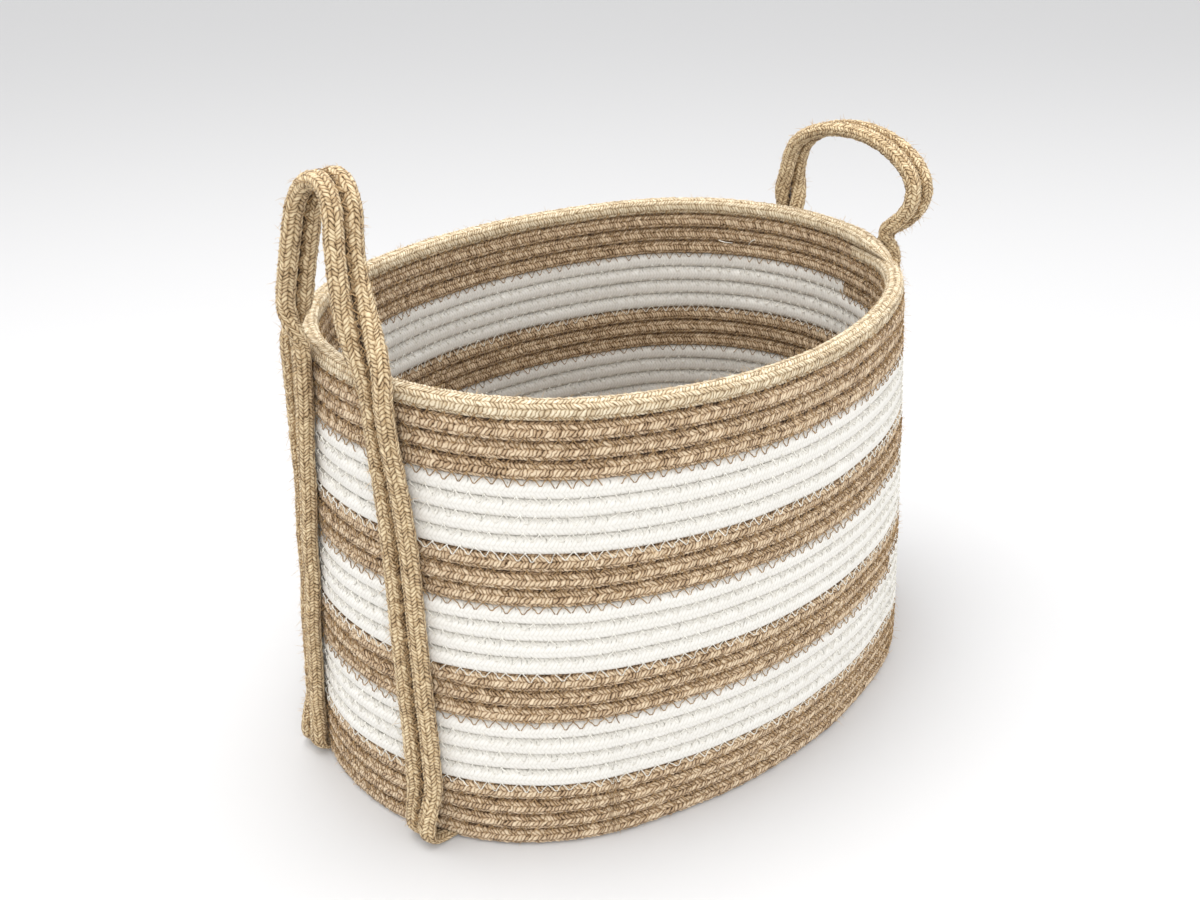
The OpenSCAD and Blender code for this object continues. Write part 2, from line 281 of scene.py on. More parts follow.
def rope_faces(n, kind, closed, length, turned):
    """Triangles of a rope's grid of n rings, each cell split along its strands, and the bake's layout for
    them: the rope in strips, one above another."""
    m = kind["columns"] * kind["per_column"]
    rows = n if closed else n - 1
    i = np.repeat(np.arange(rows), m)
    j = np.tile(np.arange(m), rows)
    i2, j2 = (i + 1) % n, (j + 1) % m
    corners = np.stack([i * m + j, i * m + j2, i2 * m + j, i2 * m + j2], -1)
    strips = max(1, round(math.sqrt(length / 33.0)))
    per_strip = math.ceil(rows / strips)
    u0 = (i % per_strip) / per_strip * 0.98 + 0.01
    u1 = u0 + 0.98 / per_strip
    v0 = (i // per_strip + 0.06 + 0.88 * j / m) / strips
    v1 = v0 + 0.88 / m / strips
    places = np.stack([np.stack(pair, -1) for pair in ((u0, v0), (u0, v1), (u1, v0), (u1, v1))], 1)
    # Corners of a cell's two triangles, where the strands lean one way and the other
    leans = np.floor((j + 0.5) / kind["per_column"]) % 2 == 0
    order = np.where(leans[:, None], [0, 1, 2, 1, 3, 2], [0, 1, 3, 0, 3, 2]).reshape(-1, 2, 3)
    if turned:
        order = order[:, :, ::-1]
    order = order.reshape(-1, 6)
    cell = np.arange(len(i))[:, None]
    return corners[cell, order].reshape(-1, 3), places[cell, order].reshape(-1, 2)


def rope_caps(n, m, turned):
    """Triangles that close both ends of a rope, round two more points after its n rings of m."""
    ring = np.arange(m)
    after = (ring + 1) % m
    low = np.stack([np.full(m, n * m), after, ring], -1)
    high = np.stack([np.full(m, n * m + 1), (n - 1) * m + ring, (n - 1) * m + after], -1)
    caps = np.concatenate([low, high])
    return caps[:, ::-1] if turned else caps


def rope_mesh(name, centres, outward, upward, half_out, half_up, along, kind, material, seed,
              power=2.0, closed=False, capped=False, sewn=(-1, 1)):
    """Rope with a braided surface along a line. Outward and upward are the directions of its section, whose
    half sizes are given at every station. Its material has painted shade and less relief where it is sewn, in
    the crease on its -1 or 1 side. Returns the object, and the place, normal, crest and side of each point of
    its surface."""
    n = len(centres)
    m = kind["columns"] * kind["per_column"]
    # The pattern starts and ends at the middle of a sewn side, where it is out of sight
    around = sewn[0] * TURN / 4 + np.arange(m) * TURN / m
    c, s = np.cos(around), np.sin(around)
    strands = np.repeat(strands_at(along, kind, seed)[:, None], m, 1)
    column = np.repeat(np.arange(m)[None, :] / kind["per_column"], n, 0)
    relief, crest = braid(strands, column, kind)
    pull = 0.75 + 0.25 * waves(along, 9.0, int(seed) + 7)
    # Painted shade in the crease along each sewn side, broken unevenly along the rope; the same share lowers
    # the relief there
    in_seam = sum(ease((side * s - 0.78) / 0.22) for side in sewn)
    in_body = 1 - np.clip(0.9 * in_seam[None, :] * pull[:, None], 0, 0.95)
    if kind["dots"]:
        in_body = needle_holes(in_body, along, s, int(seed))
    # A flattened rope has less relief
    relief = relief * np.minimum(1, np.minimum(half_out, half_up) / 4.0)[:, None]
    roundness = 2.0 / power
    section_out, section_up = np.sign(c) * np.abs(c) ** roundness, np.sign(s) * np.abs(s) ** roundness
    out = section_out[None, :] * half_out[:, None] + c[None, :] * relief
    up = section_up[None, :] * half_up[:, None] + s[None, :] * relief
    verts = centres[:, None, :] + out[..., None] * outward[:, None, :] + up[..., None] * upward[:, None, :]
    verts = verts.reshape(-1, 3)
    normals = unit(c[None, :, None] * outward[:, None, :] + s[None, :, None] * upward[:, None, :])
    # The faces turn over where the section's directions run against the line
    heading = centres[min(n // 2 + 1, n - 1)] - centres[n // 2]
    turned = np.dot(np.cross(outward[n // 2], upward[n // 2]), heading) < 0
    tris, uv = rope_faces(n, kind, closed, abs(along[-1] - along[0]), turned)
    pattern = np.stack([strands, column, in_body], -1).reshape(-1, 3)
    surface = verts, normals.reshape(-1, 3), crest.ravel(), np.tile(s, n)
    if capped:
        verts = np.concatenate([verts, centres[[0, -1]]])
        tris = np.concatenate([tris, rope_caps(n, m, turned)])
        uv = np.concatenate([uv, np.full((6 * m, 2), 0.004)])
        pattern = np.concatenate([pattern, np.full((2, 3), 0.5)])
    return (mesh_object(name, verts, tris, material, pattern, uv), *surface)


def tube_mesh(lines, radius, sides):
    """One mesh of thin round tubes, one along each line of equal numbers of points."""
    lines = np.asarray(lines, float)
    count, n, _ = lines.shape
    step = unit(np.gradient(lines, axis=1))
    helper = np.where(np.abs(step[..., 2:3]) < 0.9, [0.0, 0.0, 1.0], [1.0, 0.0, 0.0])
    u = unit(np.cross(step, helper))
    v = np.cross(step, u)
    radius = np.broadcast_to(np.asarray(radius, float), (count, n))
    k = np.arange(sides) * TURN / sides
    ring = np.cos(k)[:, None] * u[:, :, None, :] + np.sin(k)[:, None] * v[:, :, None, :]
    verts = (lines[:, :, None, :] + radius[:, :, None, None] * ring).reshape(-1, 3)
    i = np.repeat(np.arange(n - 1), sides)
    j = np.tile(np.arange(sides), n - 1)
    j2 = (j + 1) % sides
    quad = np.concatenate([
        np.stack([i * sides + j, i * sides + j2, (i + 1) * sides + j2], -1),
        np.stack([i * sides + j, (i + 1) * sides + j2, (i + 1) * sides + j], -1),
    ])
    tris = (quad[None] + (np.arange(count) * n * sides)[:, None, None]).reshape(-1, 3)
    return verts, tris


def join(parts):
    """One list of vertices and one of triangles from several."""
    verts, tris, start = [], [], 0
    for v, t in parts:
        verts.append(v)
        tris.append(t + start)
        start += len(v)
    return np.concatenate(verts), np.concatenate(tris)


# ---- Materials ----


def linear(r, g, b):
    """Scene colour of an 8-bit screen colour."""
    def one(c):
        c = c / 255
        return c / 12.92 if c <= 0.04045 else ((c + 0.055) / 1.055) ** 2.4
    return (one(r), one(g), one(b), 1.0)


def node(tree, kind, **settings):
    """New shader node with its settings."""
    made = tree.nodes.new(kind)
    for key, value in settings.items():
        setattr(made, key, value)
    return made


def maths(tree, operation, a, b, clamp=False):
    """Output of a maths node between two numbers or sockets."""
    made = node(tree, "ShaderNodeMath", operation=operation, use_clamp=clamp)
    for slot, value in zip(made.inputs, (a, b)):
        if isinstance(value, (int, float)):
            slot.default_value = value
        else:
            tree.links.new(value, slot)
    return made.outputs[0]


def braid_nodes(tree, kind):
    """The pattern that braid() gives the mesh, worked out for every point of the surface: height of the
    strands, a random tone for each, and the fibres along it. Strands stray a little from the even pattern."""
    link = tree.links.new

    def m(operation, a, b=0.0):
        return maths(tree, operation, a, b)

    place = node(tree, "ShaderNodeAttribute", attribute_name="Braid")
    parts = node(tree, "ShaderNodeSeparateXYZ")
    link(place.outputs["Vector"], parts.inputs[0])
    even_strands, even_column, in_body = parts.outputs
    where = node(tree, "ShaderNodeTexCoord")
    stray = node(tree, "ShaderNodeTexNoise")
    stray.inputs["Scale"].default_value = 330.0
    stray.inputs["Detail"].default_value = 1.0
    link(where.outputs["Object"], stray.inputs["Vector"])
    strays = node(tree, "ShaderNodeSeparateColor")
    link(stray.outputs["Color"], strays.inputs[0])
    strands = m("ADD", even_strands, m("MULTIPLY", m("SUBTRACT", strays.outputs[0], 0.5), kind["stray"]))
    column = m("ADD", even_column, m("MULTIPLY", m("SUBTRACT", strays.outputs[1], 0.5), kind["stray"] / 2))

    k = m("FLOOR", m("ADD", column, 1e-4))
    f = m("SUBTRACT", column, k)
    odd = m("MODULO", k, 2.0)
    slant = m("MULTIPLY", m("SUBTRACT", 0.5, odd), m("MULTIPLY", m("SUBTRACT", f, 0.5), 2 * STRAND_LEAN))
    shift = m("ADD", m("MULTIPLY", odd, 0.5), m("MULTIPLY", m("SINE", m("MULTIPLY", k, 2.9)), 0.2))
    phase = m("ADD", m("ADD", strands, slant), shift)
    n = m("FLOOR", phase)
    g = m("SUBTRACT", phase, n)
    off = m("SUBTRACT", m("MULTIPLY", g, 2.0), 1.0)
    strand = m("SQRT", m("MAXIMUM", m("SUBTRACT", 1.0, m("MULTIPLY", off, off)), 0.0))
    side = m("ABSOLUTE", m("SUBTRACT", m("MULTIPLY", f, 2.0), 1.0))
    tuck = m("SUBTRACT", 1.0, m("MULTIPLY", m("POWER", side, 2.5), 0.5))
    height = m("MULTIPLY", strand, tuck)
    height = m("ADD", m("MULTIPLY", height, 1 - kind["soft"]), kind["soft"])
    # Low in the seams and needle holes: painted shade there, and less bump
    height = m("MULTIPLY", height, in_body)

    key = node(tree, "ShaderNodeCombineXYZ")
    link(n, key.inputs[0])
    link(k, key.inputs[1])
    random = node(tree, "ShaderNodeTexWhiteNoise", noise_dimensions="3D")
    link(key.outputs[0], random.inputs["Vector"])
    tone = m("SUBTRACT", random.outputs["Value"], 0.5)

    # Coordinates across, along and between strands, in which the fibres' noise is stretched
    line = node(tree, "ShaderNodeCombineXYZ")
    link(m("ADD", m("MULTIPLY", f, 2.0), m("MULTIPLY", tone, 9.0)), line.inputs[0])
    link(m("ADD", m("MULTIPLY", g, 12.0), m("MULTIPLY", k, 37.0)), line.inputs[1])
    link(m("MULTIPLY", n, 1.3), line.inputs[2])
    fibres = node(tree, "ShaderNodeTexNoise")
    fibres.inputs["Scale"].default_value = 1.6
    fibres.inputs["Detail"].default_value = 3.0
    link(line.outputs[0], fibres.inputs["Vector"])
    return height, tone, m("SUBTRACT", fibres.outputs["Fac"], 0.5)


def rope_material(name, kind, valley_shade, body, crest, roughness, fibre, tone_share, sheen, gap):
    """Braided rope: painted shade in the gaps between strands and in its seams, uneven from strand to strand,
    with fine fibres along them, and a painted highlight on the strands' crests. Its colour is the painted
    shade of the gaps up to a level, the gap, and goes through body to crest, a painted highlight."""
    material = bpy.data.materials.new(name)
    material.use_nodes = True
    tree = material.node_tree
    shader = tree.nodes["Principled BSDF"]
    link = tree.links.new
    height, tone, spread = braid_nodes(tree, kind)
    fibrous = maths(tree, "MULTIPLY", spread, fibre)
    # Colour follows the strands' height: painted shade low between them and in the seams, a painted highlight
    # on their crests, with real random tone and fibres on top
    level = maths(tree, "MULTIPLY", height, 0.85)
    level = maths(tree, "ADD", level, maths(tree, "MULTIPLY", tone, tone_share))
    level = maths(tree, "ADD", level, fibrous, clamp=True)
    ramp = node(tree, "ShaderNodeValToRGB")
    # Up to the gap the colour is painted shade, deepest between the strands and in the seams
    ramp.color_ramp.elements[0].position = gap
    ramp.color_ramp.elements[0].color = linear(*valley_shade)
    # The crest colour is a painted highlight on the tops of the strands
    ramp.color_ramp.elements[1].position = 0.97
    ramp.color_ramp.elements[1].color = linear(*crest)
    middle = ramp.color_ramp.elements.new(0.52)
    middle.color = linear(*body)
    link(level, ramp.inputs["Fac"])
    link(ramp.outputs["Color"], shader.inputs["Base Color"])
    shader.inputs["Roughness"].default_value = roughness
    shader.inputs["Specular IOR Level"].default_value = 0.25
    shader.inputs["Sheen Weight"].default_value = sheen
    bump = node(tree, "ShaderNodeBump")
    bump.inputs["Strength"].default_value = 0.6
    bump.inputs["Distance"].default_value = 0.8 * kind["relief"] * MM
    link(maths(tree, "ADD", height, fibrous), bump.inputs["Height"])
    link(bump.outputs["Normal"], shader.inputs["Normal"])
    return material


def thread_material(name, dark, light, roughness):
    """Thread or fibre, speckled from a dark to a light colour."""
    material = bpy.data.materials.new(name)
    material.use_nodes = True
    tree = material.node_tree
    shader = tree.nodes["Principled BSDF"]
    place = node(tree, "ShaderNodeTexCoord")
    speck = node(tree, "ShaderNodeTexNoise")
    speck.inputs["Scale"].default_value = 420.0
    speck.inputs["Detail"].default_value = 2.0
    tree.links.new(place.outputs["Object"], speck.inputs["Vector"])
    ramp = node(tree, "ShaderNodeValToRGB")
    ramp.color_ramp.elements[0].position = 0.35
    ramp.color_ramp.elements[0].color = linear(*dark)
    ramp.color_ramp.elements[1].position = 0.65
    ramp.color_ramp.elements[1].color = linear(*light)
    tree.links.new(speck.outputs["Fac"], ramp.inputs["Fac"])
    tree.links.new(ramp.outputs["Color"], shader.inputs["Base Color"])
    shader.inputs["Roughness"].default_value = roughness
    shader.inputs["Specular IOR Level"].default_value = 0.2
    return material


def plain_material(name, colour, roughness):
    """Material of one colour."""
    material = bpy.data.materials.new(name)
    material.use_nodes = True
    shader = material.node_tree.nodes["Principled BSDF"]
    shader.inputs["Base Color"].default_value = linear(*colour)
    shader.inputs["Roughness"].default_value = roughness
    return material


# ---- Pieces ----

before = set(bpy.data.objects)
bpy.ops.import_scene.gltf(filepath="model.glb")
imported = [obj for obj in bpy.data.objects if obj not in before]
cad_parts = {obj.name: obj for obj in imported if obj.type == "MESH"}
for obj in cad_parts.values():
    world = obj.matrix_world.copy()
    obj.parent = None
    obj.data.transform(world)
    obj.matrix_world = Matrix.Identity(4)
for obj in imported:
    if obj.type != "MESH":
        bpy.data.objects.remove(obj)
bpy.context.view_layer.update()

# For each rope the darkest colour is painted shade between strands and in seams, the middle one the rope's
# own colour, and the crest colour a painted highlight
JUTE = rope_material(
    "jute", JUTE_BRAID, valley_shade=(58, 38, 20), body=(172, 142, 108), crest=(230, 210, 180),
    roughness=0.9, fibre=1.1, tone_share=0.4, sheen=0.1, gap=0.2)
# A paler copy of the jute for the rim course: painted light, as the top course is lit from above
LIT_RIM_JUTE = rope_material(
    "jute_rim", JUTE_BRAID, valley_shade=(88, 66, 40), body=(190, 168, 134), crest=(236, 224, 198),
    roughness=0.9, fibre=0.9, tone_share=0.3, sheen=0.1, gap=0.14)
HANDLE_JUTE = rope_material(
    "jute_handle", JUTE_BRAID, valley_shade=(62, 42, 22), body=(176, 148, 110), crest=(230, 212, 176),
    roughness=0.9, fibre=1.0, tone_share=0.34, sheen=0.1, gap=0.18)
COTTON = rope_material(
    "cotton", COTTON_BRAID, valley_shade=(128, 125, 116), body=(216, 213, 206), crest=(230, 228, 223),
    roughness=0.85, fibre=0.12, tone_share=0.06, sheen=0.08, gap=0.1)
TAN_THREAD = thread_material("tan_thread", (120, 94, 62), (172, 142, 102), 0.8)
WHITE_THREAD = thread_material("white_thread", (212, 208, 198), (242, 240, 232), 0.8)
FUZZ = thread_material("jute_fibre", (176, 142, 98), (222, 192, 146), 0.85)


def is_jute(turns):
    """True where the rope is jute: it starts as jute and changes at each colour change."""
    return np.searchsorted(COLOUR_CHANGES, turns, side="right") % 2 == 0


def wall_line(turns):
    """Centre, outward direction and half height of the wall's rope, before settling."""
    low, high = seam_level(turns) * PITCH, seam_level(turns + 1) * PITCH
    z = (low + high) / 2
    psi = angle_at(turns)
    a, b = half_sizes(z)
    sway = 0.28 * waves(turns * GIRTH, 95.0, 3) + 0.22 * waves(np.floor(turns + 0.5) * 61.0, 100.0, 5)
    point, out = oval(psi, a, b, ROPE_R)
    point = point + sway[:, None] * out
    centre = np.concatenate([point, z[:, None]], 1)
    outward = np.concatenate([out, np.zeros((len(z), 1))], 1)
    return centre, outward, (high - low) / 2


UP = np.array([0.0, 0.0, 1.0])
# Body, places, normals and crests of the surfaces that loose fibres grow from
hair_roots = []


def wall_x(y, z):
    """Distance of the end wall's outside from the middle of the basket."""
    a, b = half_sizes(z)
    r = END_FULLNESS * b
    return a - r + np.sqrt(r * r - y * y)


def heel(end, side):
    """Middle of a strap at the floor."""
    return end * (wall_x(STRAP_Y_BOTTOM - LANE, HANDLE_R) + HANDLE_R + STRAP_GAP), side * STRAP_Y_BOTTOM


def clear_toes(made):
    """Presses a finished rope up off the floor, and where a handle's flattened ends lie under it."""
    flat = np.zeros(3 * len(made.data.vertices), np.float32)
    made.data.vertices.foreach_get("co", flat)
    verts = flat.reshape(-1, 3).astype(float) / MM
    clear = 2 * TOE_HALF + 0.2
    for end in (-1, 1):
        for side in (-1, 1):
            heel_x, heel_y = heel(end, side)
            inward = (heel_x - verts[:, 0]) * end
            beside = np.abs(verts[:, 1] - heel_y)
            over = (inward > -4.0) & (inward < TOE_LENGTH + 7.5) & (beside < 2 * LANE + 0.9)
            verts[over & (verts[:, 2] < clear), 2] = clear
    verts[:, 2] = np.maximum(verts[:, 2], 0.05)
    made.data.vertices.foreach_set("co", (verts * MM).astype(np.float32).ravel())
    made.data.update()


def build_wall():
    """The wall's one rope in lengths of about a turn, cut at the colour changes."""
    bands = ("jute_band_bottom", "cotton_band_lower", "jute_band_lower", "cotton_band_middle",
             "jute_band_upper", "cotton_band_upper", "jute_band_top")
    edges = (0.0,) + COLOUR_CHANGES + (COURSES + TAPER,)
    for band, start, stop in zip(bands, edges[:-1], edges[1:]):
        jute = band.startswith("jute")
        kind = JUTE_BRAID if jute else COTTON_BRAID
        pieces = max(1, round(stop - start))
        cuts = np.linspace(start, stop, pieces + 1)
        if band == "jute_band_top":
            cuts[-2] = COURSES - 1
        for number, (a, b) in enumerate(zip(cuts[:-1], cuts[1:])):
            n = max(2, round((b - a) * GIRTH / kind["step"])) + 1
            turns = np.linspace(a, b, n)
            centre, outward, half_up = wall_line(turns)
            # The rope is pinched at a colour change, and thins out at its own two ends
            near = np.minimum(np.abs(turns - start), np.abs(turns - stop)) * GIRTH
            pinch = 1 - 0.2 * np.exp(-((near / 3.0) ** 2))
            half_out = ROPE_R * pinch * np.minimum(1, half_up / (0.35 * PITCH)) ** 0.5
            rim = band == "jute_band_top" and number == pieces - 1
            name = "rim_rope" if rim else "%s_rope_%d" % (band.replace("_band", ""), number + 1)
            up = np.tile(UP, (n, 1))
            # The rim's rope takes the paler copy of the jute, painted light falling from above
            made, verts, normals, crest, s = rope_mesh(
                name, settle(centre), outward, up, half_out, half_up + WALL_OVERLAP, turns * GIRTH, kind,
                LIT_RIM_JUTE if rim else JUTE if jute else COTTON, 3.0, power=2.5,
                capped=a == start or b == stop, sewn=(-1,) if rim else (-1, 1))
            if start == 0.0:
                clear_toes(made)
            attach(made, "basket")
            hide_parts("rim_course" if rim else band)
            if jute:
                free = np.abs(s) < (1.01 if rim else 0.85)
                hair_roots.append(("basket", verts[free], normals[free], crest[free]))


def build_base():
    """Floor of the basket: turns of jute rope one inside another, round a short straight core that fills the
    innermost turn."""
    a, b = half_sizes(PITCH / 2)
    kind = BASE_BRAID
    lines = []
    for k in range(1, BASE_TURNS + 1):
        inset = (k + 0.5) * PITCH
        psi, run = oval_table(a - inset, b - inset)
        n = round(run[-1] / kind["step"])
        point, out = oval(np.interp(np.arange(n) / n * run[-1], run, psi), a - inset, b - inset)
        lines.append((point, out, PITCH / 2, True))
    core_length, core_width = a - inset - PITCH / 2, b - inset - PITCH / 2
    n = round(2 * core_length / kind["step"])
    point = np.stack([np.linspace(-core_length, core_length, n), np.zeros(n)], -1)
    lines.append((point, np.tile([0.0, 1.0], (n, 1)), core_width, False))
    for k, (point, out, half_width, closed) in enumerate(lines):
        n = len(point)
        centre = np.concatenate([point, np.full((n, 1), PITCH / 2)], 1)
        outward = np.concatenate([out, np.zeros((n, 1))], 1)
        made, *_ = rope_mesh(
            "base_rope_%02d" % (k + 1), centre, outward, np.tile(UP, (n, 1)),
            np.full(n, half_width + BASE_OVERLAP), np.full(n, PITCH / 2), np.arange(n) * kind["step"],
            kind, JUTE, 20.0 + k, power=2.3, closed=closed, capped=not closed)
        clear_toes(made)
        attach(made, "basket")
        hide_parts("base_coil")


def limbs(count, seed, missing):
    """Uneven zigzag: for every limb, and every point of LIMB on it, the place along the seam and the reach to
    its side, and which limbs are kept, since a few are missing."""
    r = np.random.default_rng(seed)
    places = (np.arange(count + 1) + r.uniform(-0.2, 0.2, count + 1))[:, None]
    reach = STITCH_REACH * r.uniform(0.6, 1.2, count + 1) * np.where(np.arange(count + 1) % 2, -1, 1)
    reach = reach[:, None]
    share = LIMB[:, 0]
    along = (places[:-1] + (places[1:] - places[:-1]) * share) * STITCH_PITCH / 2
    keep = r.uniform(0, 1, count) > missing
    return along, reach[:-1] + (reach[1:] - reach[:-1]) * share, keep


def build_seams():
    """Zigzag sewing through every pair of courses, outside and inside, in the colour of the upper course."""
    first = 1.0 + TAPER
    count = int((COURSES - first) * GIRTH / (STITCH_PITCH / 2))
    for face, label in ((1, "outside"), (-1, "inside")):
        along, rise, keep = limbs(count, 40 + face, 0.04)
        turns = first + along / GIRTH
        level = seam_level(turns) * PITCH
        point, out = oval(angle_at(turns), *half_sizes(level), ROPE_R)
        over = face * (ROPE_R - LIMB[:, 1] + 0.05)
        xy = point + over[None, :, None] * out
        line = settle(np.concatenate([xy, (level + rise)[..., None]], -1))
        jute = is_jute(turns[:, LIMB_MIDDLE])
        for colour, thread, material in ((True, "tan", TAN_THREAD), (False, "white", WHITE_THREAD)):
            verts, tris = tube_mesh(line[keep & (jute == colour)], THREAD_RADIUS, 4)
            made = mesh_object("seam_%s_%s" % (thread, label), verts, tris, material)
            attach(made, "basket")
            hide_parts("seam_thread_" + thread)


def square_to(v, direction):
    """Directions turned square to others."""
    return unit(v - np.sum(v * direction, -1, keepdims=True) * direction)


def pivot(end, side):
    """Point at the rim where a strap ends and the loop begins."""
    y = STRAP_Y_TOP[end, side]
    return np.array([end * (wall_x(y - LANE, WALL_HEIGHT) + HANDLE_R + STRAP_GAP), side * y, PIVOT_Z])


def pair_turn(end, side, z):
    """Angle through which a handle's pair of ropes has turned at a height, from none to square."""
    middle, height = TWISTS[end, side]
    return math.pi / 2 * ease((z - PIVOT_Z - middle) / height + 0.5)


def loop_axes(end):
    """Directions along the line between a handle's pivots, from front to back, and outward from it."""
    line = unit(pivot(end, 1) - pivot(end, -1))
    return line, np.array([line[1], -line[0], 0.0]) * end


def strap_points(end, side):
    """Middle line of a strap from the tip of its flattened end to the pivot, the direction to the handle's
    outer rope, and the half thickness, before settling."""
    heel_x, heel_y = heel(end, side)
    rows = []
    for inward in np.linspace(TOE_LENGTH + 2, TOE_BEND, 40):
        rows.append((heel_x - end * inward, heel_y, TOE_HALF, TOE_HALF))
    for q in np.radians(np.linspace(90, 0, 24)[1:]):
        rows.append((heel_x - end * TOE_BEND * (1 - math.cos(q)), heel_y,
                     TOE_HALF + TOE_BEND * (1 - math.sin(q)),
                     TOE_HALF + (HANDLE_R - TOE_HALF) * (1 - math.sin(q))))
    toe = np.array(rows)
    # Up the wall, straight from heel to pivot at both ends and against the wall between them
    z = np.linspace(TOE_HALF + TOE_BEND, PIVOT_Z, 320)[1:]
    top = pivot(end, side)
    share = (z - HEEL_Z) / (PIVOT_Z - HEEL_Z)
    straight = np.stack([heel_x + (top[0] - heel_x) * share, heel_y + (top[1] - heel_y) * share, z], -1)
    a, b = half_sizes(np.minimum(z, WALL_HEIGHT))
    r = END_FULLNESS * b
    lean = np.arcsin(straight[:, 1] / r)
    out = np.stack([end * np.cos(lean), np.sin(lean), 0 * lean], -1)
    foot = np.stack([end * (a - r + r * np.cos(lean)), r * np.sin(lean), z], -1)
    tangent = np.stack([side * end * np.sin(lean), -side * np.cos(lean), 0 * lean], -1)
    hug = (rising(z, HUG_START) * (1 - rising(z, HUG_END)))[:, None]
    wall = straight * (1 - hug) + (foot + out * (HANDLE_R + 0.35)) * hug
    loop_line, loop_out = loop_axes(end)
    level = rising(z, STRAP_TURN)[:, None]
    plain = np.array([0.0, -side, 0.0]) * (1 - level) - side * loop_line * level
    turn = pair_turn(end, side, z)[:, None]
    wall_across = unit(plain * (1 - hug) + tangent * hug) * np.cos(turn) + loop_out * np.sin(turn)
    return (np.concatenate([toe[:, :3], wall]),
            np.concatenate([np.tile([0.0, -side, 0.0], (len(toe), 1)), wall_across]),
            np.concatenate([toe[:, 3], np.full(len(wall), HANDLE_R)]))


def loop_points(end):
    """Middle line of a loop and the direction to its outer rope, from one pivot to the other."""
    rise, shoulder, lean = LOOPS[end]
    front, back = pivot(end, -1), pivot(end, 1)
    line, outward = loop_axes(end)
    span = np.linalg.norm(back - front) / 2
    share = np.linspace(0, 1, 90)[:-1]

    def leg_along(side):
        half, bow = LEGS[end, side]
        return half + (span - half) * (1 - share) + 4 * bow * share * (1 - share)

    near, far = LEGS[end, -1][0], LEGS[end, 1][0]
    angle = np.linspace(0, math.pi, 160)
    crown = (far - near) / 2 - (far + near) / 2 * np.cos(angle)
    along = np.concatenate([-leg_along(-1), crown, leg_along(1)[::-1]])
    up = np.concatenate([shoulder * share, shoulder + rise * np.sin(angle), shoulder * share[::-1]])
    leg = np.where(np.arange(len(up)) < len(up) / 2, -1, 1)
    s = up / (shoulder + rise)
    turn = np.where(leg < 0, pair_turn(end, -1, PIVOT_Z + up), pair_turn(end, 1, PIVOT_Z + up))
    place = (front + back) / 2 + (-lean * s * s)[:, None] * outward + along[:, None] * line + up[:, None] * UP
    side = np.sin(turn)[:, None] * outward - (leg * np.cos(turn))[:, None] * line
    return place, side


def soften(v, reach):
    """Rows of numbers smoothed over a reach to each side."""
    kernel = np.hanning(2 * reach + 3)[1:-1]
    kernel = kernel / kernel.sum()
    padded = np.concatenate([np.repeat(v[:1], reach, 0), v, np.repeat(v[-1:], reach, 0)])
    return np.stack([np.convolve(padded[:, k], kernel, "valid") for k in range(v.shape[1])], -1)


def sample(v, at, run):
    """Rows of numbers, given at the distances in run, at other distances."""
    return np.stack([np.interp(at, run, v[:, k]) for k in range(v.shape[1])], -1)


def handle_line(end):
    """Whole middle line of a handle, from toe to toe, the directions to its outer rope and off the basket,
    the half thickness, and the distance along it."""
    start, start_across, start_half = strap_points(end, -1)
    finish, finish_across, finish_half = strap_points(end, 1)
    loop, loop_across = loop_points(end)
    place = np.concatenate([start[:-1], loop, finish[::-1][1:]])
    across = np.concatenate([start_across[:-1], loop_across, finish_across[::-1][1:]])
    half = np.concatenate([start_half[:-1], np.full(len(loop), HANDLE_R), finish_half[::-1][1:]])
    place = settle(place)
    run = np.concatenate([[0], np.cumsum(np.linalg.norm(np.diff(place, axis=0), axis=1))])
    at = np.linspace(0, run[-1], round(run[-1] / JUTE_BRAID["step"]))
    place, across = sample(place, at, run), soften(sample(across, at, run), 12)
    # The strap runs into the loop without a corner, and keeps its tight bend at the floor
    high = rising(place[:, 2:], STRAP_SOFTENING)
    place = soften(place, 5) * (1 - high) + soften(place, 26) * high
    half = np.interp(at, run, half)
    heading = unit(np.gradient(place, axis=0))
    across = square_to(across, heading)
    return place, across, end * np.cross(across, heading), half, at


def bend_with(made):
    """Puts the piece's placement into its mesh; it stays unattached to any body."""
    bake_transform(made)


def build_handle_ropes(end, name, place, across, outward, half, at):
    """The two ropes of a handle, each in one piece from toe to toe. Together they replace the loop's ropes
    and both straps."""
    toe = (HANDLE_R - half) / (HANDLE_R - TOE_HALF)
    for which, label, strap in ((1, "outer", "front"), (-1, "inner", "back")):
        made, verts, normals, crest, _ = rope_mesh(
            "%s_handle_%s_rope" % (name, label), place + which * LANE * across, outward, across,
            half * HANDLE_FLATNESS, HANDLE_R + 0.1 + 0.2 * toe, at, JUTE_BRAID, HANDLE_JUTE,
            50.0 + 3 * end + which, capped=True, sewn=(-which,))
        bend_with(made)
        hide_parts("%s_loop_%s_rope" % (name, label), "%s_%s_strap" % (name, strap))
        # Fibres grow where the rope faces away from the wall, and not on the toes
        facing = np.sum(normals * np.repeat(outward, len(verts) // len(outward), 0), -1)
        free = (facing > -0.3) & (verts[:, 2] > 8)
        hair_roots.append((name + "_handle", verts[free], normals[free], crest[free]))


